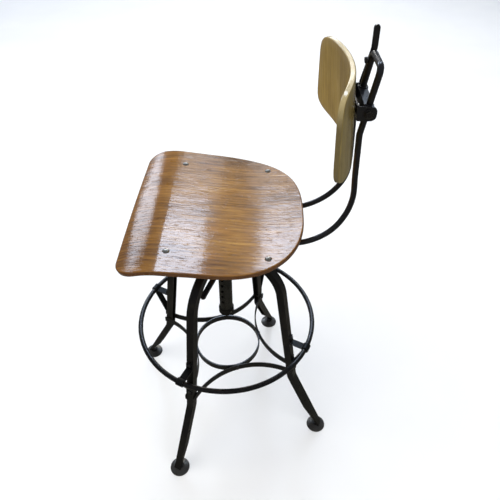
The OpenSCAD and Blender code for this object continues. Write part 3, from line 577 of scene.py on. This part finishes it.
# ------------------------------------------------------------------ softened steel edges
SOFT = {"leg": 0.0010, "cast": 0.0012, "ring": 0.0007, "bracket": 0.0006, "bow": 0.0008, "glide": 0.0003, "screw": 0.0004, "bright": 0.0002, "bronze": 0.0003, "post": 0.0005}
for n, o in nodes.items():
    if n in ("seat_panel", "backrest_panel"):
        continue
    k = which[n]
    wd = o.modifiers.new("weld", "WELD")
    wd.merge_threshold = 0.00001
    bv = o.modifiers.new("edges", "BEVEL")
    bv.width = SOFT[k]
    bv.segments = 2
    bv.limit_method = "ANGLE"
    bv.angle_limit = math.radians(32)
    bv.use_clamp_overlap = True
    bv.harden_normals = False
    bv.miter_outer = "MITER_ARC"
    wn = o.modifiers.new("shade", "WEIGHTED_NORMAL")
    wn.keep_sharp = True

# ------------------------------------------------------------------ stage and light
def floor_mat():
    T = Tree("floor")
    o = T.obj()
    v = T.noise(T.map(o, (3, 3, 3)), 1.0, 3.0)
    T.set(Base_Color=T.ramp(v, [(0.3, (0.86, 0.86, 0.865)), (0.7, (0.89, 0.89, 0.885))]), Roughness=0.85)
    T.put(T.bsdf.inputs["Specular IOR Level"], 0.2)
    return T.mat


bpy.ops.mesh.primitive_plane_add(size=14, location=(0, 0, 0))
floor = bpy.context.object
floor.name = "floor"
floor.data.materials.append(floor_mat())
floor.visible_glossy = False


def backdrop_mat():
    m = bpy.data.materials.new("backdrop")
    m.use_nodes = True
    nt = m.node_tree
    nt.nodes.clear()
    em = nt.nodes.new("ShaderNodeEmission")
    em.inputs[0].default_value = (0.80, 0.81, 0.82, 1)
    em.inputs[1].default_value = 1.0
    out = nt.nodes.new("ShaderNodeOutputMaterial")
    nt.links.new(em.outputs[0], out.inputs[0])
    return m


# a pale backdrop all round, seen by the camera alone: it lights nothing and is mirrored in nothing
bpy.ops.mesh.primitive_uv_sphere_add(segments=48, ring_count=24, radius=16, location=(0, 0, 0))
backdrop = bpy.context.object
backdrop.name = "backdrop"
backdrop.data.materials.append(backdrop_mat())
backdrop.visible_diffuse = False
backdrop.visible_glossy = False
backdrop.visible_transmission = False
backdrop.visible_volume_scatter = False
backdrop.visible_shadow = False

world = bpy.data.worlds.new("world")
scene.world = world
world.use_nodes = True
bg = world.node_tree.nodes["Background"]
wt = world.node_tree
tc = wt.nodes.new("ShaderNodeTexCoord")
sx = wt.nodes.new("ShaderNodeSeparateXYZ")
wt.links.new(tc.outputs["Generated"], sx.inputs[0])
rp = wt.nodes.new("ShaderNodeValToRGB")
rp.color_ramp.elements[0].position = 0.35
rp.color_ramp.elements[0].color = (0.12, 0.115, 0.10, 1)
rp.color_ramp.elements[1].position = 0.65
rp.color_ramp.elements[1].color = (0.155, 0.160, 0.170, 1)
mr = wt.nodes.new("ShaderNodeMapRange")
mr.inputs["From Min"].default_value = -1.0
mr.inputs["From Max"].default_value = 1.0
wt.links.new(sx.outputs[2], mr.inputs["Value"])
wt.links.new(mr.outputs["Result"], rp.inputs[0])
wt.links.new(rp.outputs[0], bg.inputs[0])
bg.inputs[1].default_value = 1.0


def area(name, pos, target, size, power, color=(1, 1, 1), size_y=None, glossy=True, diffuse=True):
    L = bpy.data.lights.new(name, "AREA")
    L.energy = power
    L.color = color
    L.size = size
    if size_y:
        L.shape = "RECTANGLE"
        L.size_y = size_y
    ob = bpy.data.objects.new(name, L)
    scene.collection.objects.link(ob)
    ob.location = pos
    d = Vector(target) - Vector(pos)
    ob.rotation_euler = d.to_track_quat("-Z", "Y").to_euler()
    ob.visible_camera = False
    ob.visible_glossy = glossy
    ob.visible_diffuse = diffuse
    return ob


def window(name, az, el, wide, tall, radiance, color):
    """A far panel of light, placed by the direction in which the seat mirrors it."""
    L = 8.0
    a, e = math.radians(az), math.radians(el)
    d = Vector((-math.cos(e)*math.cos(a), math.cos(e)*math.sin(a), math.sin(e)))
    w, h = 2*L*math.tan(math.radians(wide/2))*math.cos(e), 2*L*math.tan(math.radians(tall/2))
    p = Vector((0, 0, 0.7)) + d*L
    return area(name, p, (0, 0, 0.7), w, radiance*math.pi*w*h, color, size_y=h)


area("key", (0.5, -2.0, 4.2), (0, 0, 0.3), 4.0, 140, (1, 0.985, 0.955), glossy=False)
area("fill", (2.4, 2.0, 3.8), (0, 0, 0.3), 4.0, 90, (0.98, 0.99, 1), glossy=False)
area("side", (-2.8, 0.6, 3.6), (0, 0, 0.3), 4.0, 76, (1, 0.99, 0.97), glossy=False)
window("window_a", -3.5, 47, 12.0, 17, 13.0, (0.68, 0.80, 1.0))
window("window_a_low", -0.5, 32, 6.5, 13, 1.5, (0.80, 0.88, 1.0))
window("window_b", -32, 26, 15.0, 18, 6.0, (0.74, 0.84, 1.0))
window("window_c", 27, 34, 18.0, 24, 2.4, (0.66, 0.80, 1.0))
window("window_d", 2, 17, 20.0, 14, 4.5, (1.0, 0.97, 0.92))

scene.view_settings.view_transform = "Standard"
scene.view_settings.look = "None"
scene.view_settings.exposure = 0.0
